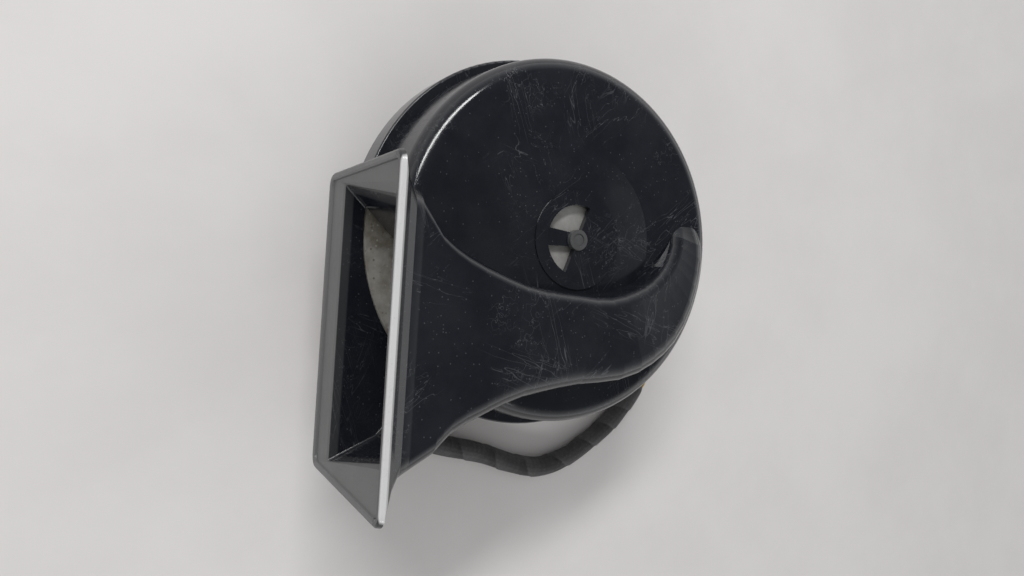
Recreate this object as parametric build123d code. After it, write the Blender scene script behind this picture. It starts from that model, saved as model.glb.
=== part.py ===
import os
from math import cos, pi, radians, sin, tan

from build123d import *

# Driving sizes in millimetres. The origin is on the driver axis, at the face of the mounting boss.
# +Z points out of the front of the horn, and the mouth opens to -X.

# Rim and skirt of the housing
rim_height = 26.0
rim_radius = 46.0
rim_edge_radius = 0.6
skirt_wall = 1.4
skirt_depth = 8.0
housing_wall = 2.0
snap_count = 6
snap_angle = 11.0
snap_reach = 0.9

# Round body of the housing, with heights measured up from the rim
body_foot_radius = 43.7
body_draft = 3.0
body_top = 18.0
shoulder_radius = 4.5
cone_radius = 22.0
cone_rise = 1.7
ring_radius = 11.5
ring_step = 0.4

# Half-moon vent on the axis
vent_radius = 8.2
vent_edge_angle = 69.0
vent_plate = 1.4
hub_radius = 2.4
hub_rise = 0.4
gate_mark_radius = 1.5
gate_mark_depth = 0.3
spoke_angle = 178.0
spoke_hub_width = 2.9
spoke_rim_width = 4.3
spoke_drop = 0.5

# Mouth flange and throat
mouth_reach = 4.6
mouth_near_side = 12.1
mouth_top_width = 70.6
mouth_bottom_width = 68.2
mouth_height = 46.4
mouth_drop = 9.8
mouth_corner_radius = 3.2
lip_radius = 0.6
lip_thickness = 1.2
lip_steps = 2
flare_steps = 3
throat_reach = 4.6
throat_tilt = 5.3
throat_width = 53.7
throat_offset = -49.0
throat_height = 33.4
throat_draft = 10.4
throat_inner_radius = 5.0

# Duct of growing section. Each station holds the angle of its outer edge round the axis, the inset
# of that edge from the shoulder line, its width, its height above the rim, the heading of its cross
# cut and the draft of its walls. The visible stations run from the mouth to where the duct sinks
# into the round body, and the hidden ones go on from there to the sound outlet.
shoulder_inset = 1.5
duct_edge_radius = 4.5
duct_inner_radius = 2.6
duct_foot_radius = 0.6
duct_floor_drop = 1.2
duct_foot_relief = 0.8
station_steps = 3
duct_stations = [
    (-130.0, -17.6, 43.3, 33.1, -88.7, 7.0),
    (-128.0, -8.9, 34.0, 32.6, -86.6, 6.0),
    (-115.9, 3.3, 23.7, 30.8, -86.4, 5.0),
    (-92.6, 9.5, 19.8, 28.8, -87.1, 5.0),
    (-61.4, 7.7, 19.1, 26.8, -71.6, 5.0),
    (-39.0, 5.3, 17.2, 24.6, -60.8, 5.0),
    (-16.0, 3.9, 13.0, 22.4, -38.0, 5.0),
    (2.0, 1.8, 10.7, 19.8, -13.0, 5.0),
    (20.0, 2.0, 8.1, 16.4, 22.5, 5.0),
]
hidden_stations = [
    (55.0, 1.8, 11.0, 17.0, 55.0, 5.0),
    (90.0, 1.8, 12.0, 17.0, 90.0, 5.0),
    (122.0, 1.8, 11.0, 17.0, 122.0, 5.0),
    (150.0, 1.8, 10.0, 17.0, 150.0, 5.0),
]

# Pockets that lighten the moulding from behind
pocket_inner_radius = 13.4
pocket_outer_radius = 25.5
pocket_roof = 2.4
pocket_start_angle = 16.0
pocket_sweep = 170.0
pocket_rib_count = 4
pocket_rib_width = 1.4

# Front plate, with its rim crimped over the pan flange
plate_drop = 2.3
plate_sheet = 1.0
plate_clearance = 0.2
crimp_width = 2.6
centre_hole_radius = 8.3
outlet_angle = 146.0
outlet_radius = 3.6
outlet_inset = 7.5

# Cap over the armature stud, seen through the vent
cap_radius = 9.5
cap_sheet = 0.9
cap_edge_radius = 1.6
cap_side_clearance = 0.3
cap_top_clearance = 0.8

# Diaphragm and its gaskets
clamp_clearance = 0.2
front_gasket_sheet = 1.0
diaphragm_sheet = 0.4
rear_gasket_sheet = 0.5
gasket_width = 5.2

# Pressed pan
pan_sheet = 1.2
pan_flange_width = 7.2
pan_corner_radius = 5.0
pan_floor_height = 3.0

# Pole core with the mounting boss turned on its lower end
boss_radius = 10.0
boss_chamfer = 0.6
thread_radius = 3.4
thread_depth = 11.0
core_radius = 7.0
core_fit = 0.05
core_gap = 1.1
retainer_radius = 12.0
retainer_sheet = 0.8

# Coil
bobbin_wall = 1.0
bobbin_fit = 0.1
bobbin_below_core = 0.6
winding_margin = 1.5
winding_fit = 0.1
tail_radius = 0.5
live_tail_level = 12.0
contact_tail_level = 10.0
contact_tail_y = 6.0

# Armature and its stud
armature_radius = 11.0
armature_height = 5.0
stud_radius = 2.5
stud_fit = 0.05
stud_floor = 1.0
stud_tip = 1.7
washer_radius = 7.0
washer_sheet = 0.6
nut_flats = 8.0
nut_height = 3.5

# Contact set beside the coil. Its places are measured inwards from the outer end of the stack.
contact_width = 9.0
leaf_sheet = 0.4
leaf_overlap = 1.8
leaf_gap = 0.4
insulator_sheet = 1.0
contact_radius = 2.0
contact_height = 1.0
contact_inset = 8.7
arm_sheet = 1.0
arm_length = 11.2
stack_length = 5.6
bracket_sheet = 1.0
bracket_length = 10.4
bracket_foot_width = 11.0
bracket_clearance = 0.4
coil_clearance = 1.2
rivet_radius = 0.9
rivet_fit = 0.05
rivet_head_radius = 1.4
rivet_head_height = 0.7
rivet_spacing = 5.8
stack_rivet_inset = 2.7
foot_rivet_inset = 8.6
foot_rivet_spacing = 7.6
solder_tab_reach = 3.6
solder_tab_width = 4.4
solder_tab_inset = 2.6
screw_inset = 3.2
screw_radius = 1.4
screw_fit = 0.05
screw_head_radius = 2.7
screw_head_height = 1.6
screw_slot_width = 0.8
screw_slot_depth = 0.7

# Spark resistor on the pan floor
resistor_radius = 2.2
resistor_length = 14.0
resistor_angle = 62.0
resistor_wall_distance = 8.3

# Terminals through the pan wall, under the mouth duct
terminal_angle = 220.0
terminal_spacing = 10.0
terminal_level = 12.0
blade_width = 6.3
blade_sheet = 0.8
blade_inner_length = 5.8
blade_outer_length = 9.5
blade_fit = 0.05
ground_leg_sheet = 0.8
block_width = 20.0
block_height = 9.0
block_stand_off = 2.6
block_inner_reach = 3.4
neck_width = 17.6
neck_height = 6.0
neck_fit = 0.1
connector_gap = 0.8
connector_past_blade = 4.0
connector_width = 8.2
connector_height = 3.8
connector_edge_radius = 0.7
barrel_radius = 1.7
barrel_length = 2.5

# Lead: two wires into a taped bundle that lies on the surface, cut off at its far end
wire_diameter = 1.8
wire_offset = 1.15
lead_diameter = 7.0
conductor_diameter = 1.6
live_end_length = 4.6
ground_end_length = 2.2
conductor_offset = 1.5
lead_route = [
    (-10.4, -55.2, 4.0),
    (-1.8, -57.5, 3.55),
    (6.6, -60.4, 3.55),
    (15.6, -64.0, 3.55),
    (24.6, -64.4, 3.55),
    (33.3, -61.7, 3.55),
    (41.0, -55.8, 3.55),
    (47.6, -48.0, 3.55),
    (53.9, -39.2, 3.55),
]
live_wire_route = [
    (-41.0, -43.3, 10.8),
    (-40.2, -47.0, 9.5),
    (-37.3, -49.6, 8.1),
    (-30.8, -50.6, 6.6),
    (-24.6, -50.9, 5.6),
]
ground_wire_route = [
    (-47.6, -36.9, 10.9),
    (-46.5, -42.4, 9.6),
    (-43.2, -47.8, 8.2),
    (-37.9, -51.5, 6.9),
    (-31.0, -53.0, 6.1),
    (-24.7, -53.9, 5.3),
]
live_first_run = 4.0
ground_first_run = 3.9
wire_last_run = 8.0

# Levels that several pieces share
plate_top = rim_height - plate_drop
plate_under = plate_top - plate_sheet
diaphragm_top = plate_under - front_gasket_sheet
diaphragm_under = diaphragm_top - diaphragm_sheet
flange_top = diaphragm_under - rear_gasket_sheet
flange_under = flange_top - pan_sheet
pan_floor_top = pan_floor_height + pan_sheet
plate_radius = rim_radius - skirt_wall - plate_clearance
clamp_radius = plate_radius - plate_sheet - clamp_clearance
pan_radius = clamp_radius - pan_flange_width
pan_inner_radius = pan_radius - pan_sheet
body_top_level = rim_height + body_top
ring_top_level = body_top_level + cone_rise + ring_step
vent_under_level = ring_top_level - vent_plate
armature_top = diaphragm_under - washer_sheet
armature_under = armature_top - armature_height
core_top = armature_under - core_gap
retainer_top = pan_floor_top + retainer_sheet
bobbin_top = core_top - bobbin_below_core
leaf_end_x = pan_inner_radius - (pan_corner_radius - pan_sheet) - bracket_clearance
leaf_tip_x = armature_radius - leaf_overlap
bracket_foot_x = leaf_end_x - bracket_length
stack_start_x = leaf_end_x - stack_length
arm_start_x = leaf_end_x - arm_length
contact_x = leaf_end_x - contact_inset
stack_rivet_x = leaf_end_x - stack_rivet_inset
foot_rivet_x = leaf_end_x - foot_rivet_inset
contact_tail_x = leaf_end_x - solder_tab_inset
screw_x = leaf_end_x - screw_inset
bobbin_radius = bracket_foot_x - coil_clearance
winding_radius = bobbin_radius - winding_margin
resistor_reach = pan_inner_radius - resistor_wall_distance
blade_start = pan_inner_radius - blade_inner_length
blade_tip = pan_radius + blade_outer_length
block_outer = pan_radius + block_stand_off
block_inner = pan_radius - block_inner_reach
connector_start = block_outer + connector_gap
connector_end = blade_tip + connector_past_blade
barrel_end = connector_end + barrel_length
leaf_top = armature_under - leaf_gap
leaf_under = leaf_top - leaf_sheet
shelf_top = leaf_under - insulator_sheet
shelf_under = shelf_top - bracket_sheet
arm_under = leaf_top + 2 * contact_height
arm_top = arm_under + arm_sheet
mouth_x = -(rim_radius + mouth_reach)
shoulder_line = body_foot_radius - shoulder_inset


def block(x_range, y_range, z_range):
    size = [high - low for low, high in (x_range, y_range, z_range)]
    middle = [(high + low) / 2 for low, high in (x_range, y_range, z_range)]
    return Pos(*middle) * Box(*size)


def post(radius, bottom, top, x=0.0, y=0.0):
    return Pos(x, y, bottom) * Cylinder(radius, top - bottom, align=(Align.CENTER, Align.CENTER, Align.MIN))


def ring(outer, inner, bottom, top):
    return post(outer, bottom, top) - post(inner, bottom, top)


def turned(points, angle=360.0, start=0.0):
    outline = make_face(Plane.XZ * Polyline(*points, close=True))
    return Rot(0, 0, start) * revolve(outline, Axis.Z, angle)


# Housing: the duct


def rounded_loop(points, radii):
    return Wire(FilletPolyline(*points, radius=radii, close=True).edges())


def duct_corners(plane, width, height, draft, inset, bottom):
    slope = tan(radians(draft))
    side = inset / cos(radians(draft))
    foot_shift = slope * (height - bottom) - side
    top_shift = slope * inset - side
    points = [
        (-width - foot_shift, bottom),
        (foot_shift, bottom),
        (top_shift, height - inset),
        (-width - top_shift, height - inset),
    ]
    return [plane.from_local_coords(Vector(x, y, 0)) for x, y in points]


def duct_radii(inner_radius, inset):
    return [duct_foot_radius, duct_foot_radius, duct_edge_radius - inset, inner_radius - inset]


def duct_loop(station, inset, bottom):
    angle, edge_inset, width, height, heading, draft = station
    reach = shoulder_line - edge_inset
    across = Vector(cos(radians(heading)), sin(radians(heading)), 0)
    origin = Vector(reach * cos(radians(angle)), reach * sin(radians(angle)), rim_height)
    plane = Plane(origin=origin, x_dir=across, z_dir=across.cross(Vector(0, 0, 1)))
    corners = duct_corners(plane, width, height, draft, inset, bottom)
    return rounded_loop(corners, duct_radii(duct_inner_radius, inset))


def mouth_corners(inset, x):
    low = rim_height - mouth_drop + inset
    high = rim_height - mouth_drop + mouth_height - inset
    near = mouth_near_side - inset
    far_low = mouth_near_side - mouth_bottom_width + inset
    far_high = mouth_near_side - mouth_top_width + inset
    return [Vector(x, near, low), Vector(x, far_low, low), Vector(x, far_high, high), Vector(x, near, high)]


def throat_corners(inset, bottom):
    foot_x = mouth_x + throat_reach - throat_height * tan(radians(throat_tilt))
    lean = Vector(sin(radians(throat_tilt)), 0, cos(radians(throat_tilt)))
    across = Vector(0, -1, 0)
    plane = Plane(origin=(foot_x, throat_offset, rim_height), x_dir=across, z_dir=across.cross(lean))
    return duct_corners(plane, throat_width, throat_height, throat_draft, inset, bottom)


# The lip is rounded on each side of the wall. The flare behind it narrows fast at first and then
# ever slower, as a bell does, until it meets the throat. Its outside lies one wall behind its inside.


def lip_loops(inset, rounding, depth):
    loops = []
    for step in range(lip_steps):
        angle = pi / 2 * step / lip_steps
        here = inset + rounding * (1 - sin(angle))
        x = mouth_x + depth * (1 - cos(angle))
        loops.append(rounded_loop(mouth_corners(here, x), [mouth_corner_radius - here] * 4))
    return loops


def flare_loops(inset, bottom, depth, wall_shift):
    wide = mouth_corners(inset, mouth_x + depth)
    narrow = [point + Vector(wall_shift, 0, 0) for point in throat_corners(inset, bottom)]
    narrow_radii = duct_radii(throat_inner_radius, inset)
    loops = []
    for step in range(flare_steps + 1):
        along = step / flare_steps
        drawn_in = 1 - (1 - along) ** 2
        points = []
        for start, end in zip(wide, narrow):
            gap = end - start
            points.append(start + Vector(gap.X * along, gap.Y * drawn_in, gap.Z * drawn_in))
        wide_radius = mouth_corner_radius - inset
        radii = [wide_radius + (radius - wide_radius) * drawn_in for radius in narrow_radii]
        loops.append(rounded_loop(points, radii))
    return loops


def eased(rows, steps):
    result = [rows[0]]
    for index in range(len(rows) - 1):
        before = rows[max(index - 1, 0)]
        start, end = rows[index], rows[index + 1]
        after = rows[min(index + 2, len(rows) - 1)]
        for step in range(1, steps + 1):
            t = step / steps
            row = []
            for a, b, c, d in zip(before, start, end, after):
                bend = (2 * a - 5 * b + 4 * c - d) * t**2 + (3 * b - a - 3 * c + d) * t**3
                row.append(b + ((c - a) * t + bend) / 2)
            result.append(tuple(row))
    return result


def duct_outside():
    bottom = -duct_floor_drop - housing_wall
    shown = (len(duct_stations) - 1) * station_steps + 1
    stations = eased(duct_stations + hidden_stations, station_steps)[:shown]
    loops = lip_loops(0.0, lip_radius, lip_thickness)
    loops += flare_loops(0.0, bottom, lip_thickness, housing_wall)
    return Solid.make_loft(loops + [duct_loop(station, 0.0, bottom) for station in stations], True)


def duct_inside():
    bottom = -duct_floor_drop
    stations = eased(duct_stations + hidden_stations, station_steps)
    loops = lip_loops(housing_wall, -lip_radius, lip_radius)
    loops += flare_loops(housing_wall, bottom, lip_radius, 0.0)
    return Solid.make_loft(loops + [duct_loop(station, housing_wall, bottom) for station in stations], True)


def duct_opening():
    inset = housing_wall - duct_foot_relief
    stations = eased(duct_stations + hidden_stations, station_steps)
    low = plate_top - 1.0
    bottom = low - rim_height
    loops = [rounded_loop(throat_corners(inset, bottom), duct_radii(throat_inner_radius, inset))]
    channel = Solid.make_loft(loops + [duct_loop(station, inset, bottom) for station in stations], True)
    depth = rim_height - duct_floor_drop + duct_foot_radius
    return channel & post(plate_radius + plate_clearance, low, depth)


# Housing: the round body


def round_body():
    top_radius = body_foot_radius - body_top * tan(radians(body_draft))
    corner = (top_radius, body_top_level)
    points = [
        (0, plate_top),
        (body_foot_radius, plate_top),
        (body_foot_radius, rim_height),
        corner,
        (cone_radius, body_top_level),
        (ring_radius, ring_top_level - ring_step),
        (ring_radius, ring_top_level),
        (0, ring_top_level),
    ]
    outline = make_face(Polyline(*points, close=True))
    shoulder = outline.vertices().sort_by_distance(corner)[0]
    return revolve(Plane.XZ.location * fillet(shoulder, shoulder_radius), Axis.Z)


def rim():
    wall = ring(rim_radius, plate_radius + plate_clearance, rim_height - skirt_depth, rim_height)
    ledge = ring(rim_radius, body_foot_radius - 1.0, plate_top, rim_height)
    whole = wall + ledge
    edge = whole.edges().filter_by(GeomType.CIRCLE).sort_by(lambda e: (e.radius, e.center().Z))[-1]
    return fillet(edge, rim_edge_radius)


def snap_lugs():
    bottom = rim_height - skirt_depth
    top = flange_under - plate_sheet - plate_clearance / 2
    wall = plate_radius + plate_clearance
    back = wall + skirt_wall / 2
    points = [(back, bottom), (wall, bottom), (wall - snap_reach, top), (back, top)]
    lugs = Part()
    for index in range(snap_count):
        lugs += turned(points, snap_angle, index * 360.0 / snap_count)
    return lugs


def pockets():
    roof_inner = ring_top_level - ring_step - pocket_roof - cone_rise * (
        (pocket_inner_radius - ring_radius) / (cone_radius - ring_radius)
    )
    roof_outer = body_top_level - pocket_roof
    points = [
        (pocket_inner_radius, plate_top),
        (pocket_outer_radius, plate_top),
        (pocket_outer_radius, roof_outer),
        (cone_radius, roof_outer),
        (pocket_inner_radius, roof_inner),
    ]
    hollow = turned(points, pocket_sweep, pocket_start_angle)
    for index in range(pocket_rib_count):
        angle = pocket_start_angle + pocket_sweep * (index + 1) / (pocket_rib_count + 1)
        half = pocket_rib_width / 2
        rib = block((0, pocket_outer_radius + 1), (-half, half), (plate_top, body_top_level + cone_rise))
        hollow -= Rot(0, 0, angle) * rib
    return hollow


def vent():
    top = ring_top_level + 1.0
    bottom = vent_under_level - 1.0
    reach = 2 * vent_radius
    half_plane = Rot(0, 0, vent_edge_angle) * block((-reach, reach), (0, reach), (bottom, top))
    opening = post(vent_radius, bottom, top) & half_plane
    spoke_points = [
        (0, -spoke_hub_width / 2),
        (vent_radius + 1, -spoke_rim_width / 2),
        (vent_radius + 1, spoke_rim_width / 2),
        (0, spoke_hub_width / 2),
    ]
    spoke = extrude(make_face(Polyline(*spoke_points, close=True)), top - bottom)
    spoke_cut = post(vent_radius, ring_top_level - spoke_drop, top) & half_plane
    opening -= Pos(0, 0, bottom) * Rot(0, 0, spoke_angle) * spoke
    return (opening + spoke_cut) - post(hub_radius, bottom, top)


def snail_housing():
    shell = duct_outside() + round_body() + rim()
    shell -= post(plate_radius + plate_clearance, rim_height - skirt_depth - 1.0, plate_top)
    shell -= duct_inside()
    shell -= duct_opening()
    shell -= pockets()
    shell -= post(cap_radius + cap_side_clearance, plate_top - 1.0, vent_under_level)
    shell -= vent()
    shell += post(hub_radius, vent_under_level, ring_top_level + hub_rise)
    shell -= post(gate_mark_radius, ring_top_level + hub_rise - gate_mark_depth, ring_top_level + 1.0)
    return shell + snap_lugs()


# Driver


def centre_cap():
    top = vent_under_level - cap_top_clearance
    shell = post(cap_radius, plate_top, top)
    shell = fillet(shell.edges().group_by(Axis.Z)[-1], cap_edge_radius)
    bore = post(cap_radius - cap_sheet, plate_top, top - cap_sheet)
    bore = fillet(bore.edges().group_by(Axis.Z)[-1], cap_edge_radius - cap_sheet)
    return shell - bore


def front_plate():
    crimp_bottom = flange_under - plate_sheet
    points = [
        (centre_hole_radius, plate_top),
        (plate_radius, plate_top),
        (plate_radius, crimp_bottom),
        (plate_radius - crimp_width, crimp_bottom),
        (plate_radius - crimp_width, flange_under),
        (plate_radius - plate_sheet, flange_under),
        (plate_radius - plate_sheet, plate_under),
        (centre_hole_radius, plate_under),
    ]
    body = turned(points)
    edges = body.edges().filter_by(GeomType.CIRCLE).filter_by(lambda e: e.radius > plate_radius - 0.01)
    body = fillet(edges, plate_sheet * 0.8)
    reach = shoulder_line - outlet_inset
    outlet = Rot(0, 0, outlet_angle) * post(outlet_radius, plate_under - 1, plate_top + 1, reach)
    return body - outlet


def front_gasket():
    return ring(clamp_radius, clamp_radius - gasket_width, diaphragm_top, plate_under)


def diaphragm():
    return ring(clamp_radius, stud_radius + stud_fit, diaphragm_under, diaphragm_top)


def rear_gasket():
    return ring(clamp_radius, clamp_radius - gasket_width, flange_top, diaphragm_under)


def driver_pan():
    outer = post(pan_radius, pan_floor_height, flange_top)
    outer = fillet(outer.edges().group_by(Axis.Z)[0], pan_corner_radius)
    inner = post(pan_inner_radius, pan_floor_top, flange_top)
    inner = fillet(inner.edges().group_by(Axis.Z)[0], pan_corner_radius - pan_sheet)
    pan = outer + ring(clamp_radius, pan_inner_radius, flange_under, flange_top) - inner
    pan -= post(core_radius + core_fit, pan_floor_height, pan_floor_top)
    pan -= post(screw_radius + screw_fit, pan_floor_height, pan_floor_top, screw_x)
    for side in (-1, 1):
        y = side * foot_rivet_spacing / 2
        pan -= post(rivet_radius + rivet_fit, pan_floor_height, pan_floor_top, foot_rivet_x, y)
    half_width = neck_width / 2 + neck_fit
    half_height = neck_height / 2 + neck_fit
    slot_z = (terminal_level - half_height, terminal_level + half_height)
    slot = block((pan_inner_radius - 3, pan_radius + 1), (-half_width, half_width), slot_z)
    return pan - Rot(0, 0, terminal_angle) * slot


def pole_core():
    core = post(core_radius, pan_floor_height, core_top)
    boss = post(boss_radius, 0, pan_floor_height)
    boss = chamfer(boss.edges().group_by(Axis.Z)[0], boss_chamfer)
    return core + boss - post(thread_radius, 0, thread_depth)


def core_retainer():
    return ring(retainer_radius, core_radius + core_fit, pan_floor_top, retainer_top)


def coil_bobbin():
    bore = core_radius + bobbin_fit
    tube = bore + bobbin_wall
    points = [
        (bore, retainer_top),
        (bobbin_radius, retainer_top),
        (bobbin_radius, retainer_top + bobbin_wall),
        (tube, retainer_top + bobbin_wall),
        (tube, bobbin_top - bobbin_wall),
        (bobbin_radius, bobbin_top - bobbin_wall),
        (bobbin_radius, bobbin_top),
        (bore, bobbin_top),
    ]
    return turned(points)


def coil_winding():
    bore = core_radius + bobbin_fit + bobbin_wall + winding_fit
    bottom = retainer_top + bobbin_wall
    return ring(winding_radius, bore, bottom, bobbin_top - bobbin_wall)


def coil_tails():
    start = winding_radius * 0.8
    offset = terminal_spacing / 2
    live = Rot(0, 90, 0) * post(tail_radius, start, blade_start)
    live = Rot(0, 0, terminal_angle) * Pos(0, offset, live_tail_level) * live
    points = [
        (start, contact_tail_y, contact_tail_level),
        (contact_tail_x, contact_tail_y, contact_tail_level),
        (contact_tail_x, contact_tail_y, arm_under),
    ]
    path = Wire(FilletPolyline(*points, radius=3 * tail_radius).edges())
    contact = sweep(Plane(origin=path @ 0, z_dir=path % 0) * Circle(tail_radius), path=path)
    return Compound(children=[live - coil_winding(), contact - coil_winding()])


def armature():
    body = post(armature_radius, armature_under, armature_top)
    body = chamfer(body.edges().group_by(Axis.Z)[0], 0.5)
    return body - post(stud_radius + stud_fit, armature_under + stud_floor, armature_top)


def armature_stud():
    tip = diaphragm_top + washer_sheet + nut_height + stud_tip
    stud = post(stud_radius, armature_under + stud_floor, tip)
    return chamfer(stud.edges().group_by(Axis.Z)[-1], 0.5)


def spacer_washer():
    return ring(washer_radius, stud_radius + stud_fit, armature_top, diaphragm_under)


def clamp_washer():
    return ring(washer_radius, stud_radius + stud_fit, diaphragm_top, diaphragm_top + washer_sheet)


def stud_nut():
    bottom = diaphragm_top + washer_sheet
    hexagon = RegularPolygon(nut_flats / 2, 6, major_radius=False)
    nut = Pos(0, 0, bottom) * extrude(hexagon, nut_height)
    return nut - post(stud_radius + stud_fit, bottom, bottom + nut_height)


# Contact set


def stack_holes(bottom, top, radius):
    holes = Part()
    for side in (-1, 1):
        holes += post(radius, bottom, top, stack_rivet_x, side * rivet_spacing / 2)
    return holes


def foot_holes(bottom, top, radius):
    holes = Part()
    for side in (-1, 1):
        holes += post(radius, bottom, top, foot_rivet_x, side * foot_rivet_spacing / 2)
    return holes


def stack_plate(start_x, bottom, top):
    half = contact_width / 2
    plate = block((start_x, leaf_end_x), (-half, half), (bottom, top))
    return plate - stack_holes(bottom, top, rivet_radius + rivet_fit)


def contact_bracket():
    half = contact_width / 2
    foot_half = bracket_foot_width / 2
    riser_x = leaf_end_x - bracket_sheet
    foot = block((bracket_foot_x, leaf_end_x), (-half, half), (pan_floor_top, pan_floor_top + bracket_sheet))
    ears_x = (bracket_foot_x, foot_rivet_x + rivet_head_radius)
    foot += block(ears_x, (-foot_half, foot_half), (pan_floor_top, pan_floor_top + bracket_sheet))
    foot -= foot_holes(pan_floor_top, pan_floor_top + bracket_sheet, rivet_radius + rivet_fit)
    foot -= post(screw_radius + screw_fit, pan_floor_top, pan_floor_top + bracket_sheet, screw_x)
    riser = block((riser_x, leaf_end_x), (-half, half), (pan_floor_top, shelf_top))
    shelf = block((stack_start_x, leaf_end_x), (-half, half), (shelf_under, shelf_top))
    shelf -= stack_holes(shelf_under, shelf_top, rivet_radius + rivet_fit)
    return foot + riser + shelf


def riveted(x, spacing, bottom, top):
    rivets = []
    for side in (-1, 1):
        y = side * spacing / 2
        shank = post(rivet_radius, bottom, top, x, y)
        low = post(rivet_head_radius, bottom - rivet_head_height, bottom, x, y)
        high = post(rivet_head_radius, top, top + rivet_head_height, x, y)
        rivets.append(shank + low + high)
    return Compound(children=rivets)


def bracket_rivets():
    return riveted(foot_rivet_x, foot_rivet_spacing, pan_floor_height, pan_floor_top + bracket_sheet)


def lower_insulator():
    return stack_plate(stack_start_x, shelf_top, leaf_under)


def contact_spring():
    return stack_plate(leaf_tip_x, leaf_under, leaf_top)


def moving_contact():
    return post(contact_radius, leaf_top, leaf_top + contact_height, contact_x)


def upper_insulator():
    return stack_plate(stack_start_x, leaf_top, arm_under)


def fixed_contact_arm():
    half = contact_width / 2
    tab_x = (contact_tail_x - solder_tab_width / 2, contact_tail_x + solder_tab_width / 2)
    tab = block(tab_x, (half - 1, half + solder_tab_reach), (arm_under, arm_top))
    arm = stack_plate(arm_start_x, arm_under, arm_top) + tab
    return arm - stack_holes(arm_under, arm_top, rivet_radius + rivet_fit)


def fixed_contact():
    return post(contact_radius, leaf_top + contact_height, arm_under, contact_x)


def contact_rivets():
    return riveted(stack_rivet_x, rivet_spacing, shelf_under, arm_top)


def adjusting_screw():
    head_bottom = pan_floor_height - screw_head_height
    screw = post(screw_radius, head_bottom, shelf_under, screw_x)
    screw += post(screw_head_radius, head_bottom, pan_floor_height, screw_x)
    half = screw_slot_width / 2
    reach = screw_head_radius + 1
    slot_x = (screw_x - reach, screw_x + reach)
    return screw - block(slot_x, (-half, half), (head_bottom, head_bottom + screw_slot_depth))


def spark_resistor():
    body = Rot(90, 0, 0) * Cylinder(resistor_radius, resistor_length)
    body = fillet(body.edges().filter_by(GeomType.CIRCLE), 0.5)
    return Rot(0, 0, resistor_angle) * Pos(resistor_reach, 0, pan_floor_top + resistor_radius) * body


# Terminals and connectors


def blade_slots(fit):
    half_width = blade_width / 2 + fit
    half_sheet = blade_sheet / 2 + fit
    slots = Part()
    for side in (-1, 1):
        y = side * terminal_spacing / 2
        z_range = (terminal_level - half_sheet, terminal_level + half_sheet)
        slots += block((blade_start - 1, blade_tip + 1), (y - half_width, y + half_width), z_range)
    return slots


def terminal_block():
    half_width = block_width / 2
    half_height = block_height / 2
    flange_z = (terminal_level - half_height, terminal_level + half_height)
    flange = block((pan_radius - 3, block_outer), (-half_width, half_width), flange_z)
    flange = fillet(flange.edges().filter_by(Axis.X), 1.5)
    flange -= post(pan_radius + neck_fit / 2, 0, rim_height)
    neck_z = (terminal_level - neck_height / 2, terminal_level + neck_height / 2)
    neck = block((block_inner, block_outer - 1), (-neck_width / 2, neck_width / 2), neck_z)
    return Rot(0, 0, terminal_angle) * (flange + neck - blade_slots(blade_fit))


def blade(side, start):
    half_width = blade_width / 2
    y = side * terminal_spacing / 2
    z_range = (terminal_level - blade_sheet / 2, terminal_level + blade_sheet / 2)
    body = block((start, blade_tip), (y - half_width, y + half_width), z_range)
    tip = body.edges().filter_by(Axis.Z).group_by(Axis.X)[-1]
    return chamfer(tip, 1.2)


def terminal_blade_live():
    return Rot(0, 0, terminal_angle) * blade(1, blade_start)


def terminal_blade_ground():
    half_width = blade_width / 2
    y = -terminal_spacing / 2
    leg_x = (blade_start - ground_leg_sheet, blade_start)
    leg_z = (pan_floor_top, terminal_level + blade_sheet / 2)
    leg = block(leg_x, (y - half_width, y + half_width), leg_z)
    return Rot(0, 0, terminal_angle) * (blade(-1, blade_start - ground_leg_sheet) + leg)


def connector(side):
    y = side * terminal_spacing / 2
    half_width = connector_width / 2
    half_height = connector_height / 2
    z_range = (terminal_level - half_height, terminal_level + half_height)
    sleeve = block((connector_start, connector_end), (y - half_width, y + half_width), z_range)
    sleeve = fillet(sleeve.edges().filter_by(Axis.X), connector_edge_radius)
    barrel = Rot(0, 90, 0) * post(barrel_radius, connector_end - 1, barrel_end)
    sleeve += Pos(0, y, terminal_level) * barrel
    return Rot(0, 0, terminal_angle) * (sleeve - blade_slots(blade_fit))


def connector_live():
    return connector(1)


def connector_ground():
    return connector(-1)


# Lead


def tube(name, route, diameter):
    points = [Vector(*point) for point in route]
    radii = []
    for before, point, after in zip(points, points[1:], points[2:]):
        turn = (point - before).get_angle(after - point)
        shorter = min((point - before).length, (after - point).length)
        radii.append(0.45 * shorter / tan(radians(turn / 2)))
    path = Wire(FilletPolyline(*points, radius=radii).edges())
    solid = sweep(Plane(origin=path @ 0, z_dir=path % 0) * Circle(diameter / 2), path=path)
    expected = path.length * pi * diameter**2 / 4
    print(name, "radii", [round(r, 1) for r in radii], "length", round(path.length, 1))
    print(name, "volume over section times length", round(solid.volume / expected, 4))
    return solid


def wire_start(side, first_run):
    angle = radians(terminal_angle)
    y = side * terminal_spacing / 2
    outward = Vector(cos(angle), sin(angle), 0)
    beside = Vector(-sin(angle), cos(angle), 0)
    start = outward * barrel_end + beside * y + Vector(0, 0, terminal_level)
    return [start, start + outward * first_run]


def wire_end(side):
    first, second = (Vector(*point) for point in lead_route[:2])
    along = (second - first).normalized()
    beside = Vector(-along.Y, along.X, 0).normalized()
    end = first + beside * (side * wire_offset)
    return [end - along * wire_last_run, end]


def lead_wire_live():
    route = wire_start(1, live_first_run) + live_wire_route + wire_end(1)
    return tube("lead_wire_live", route, wire_diameter)


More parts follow.
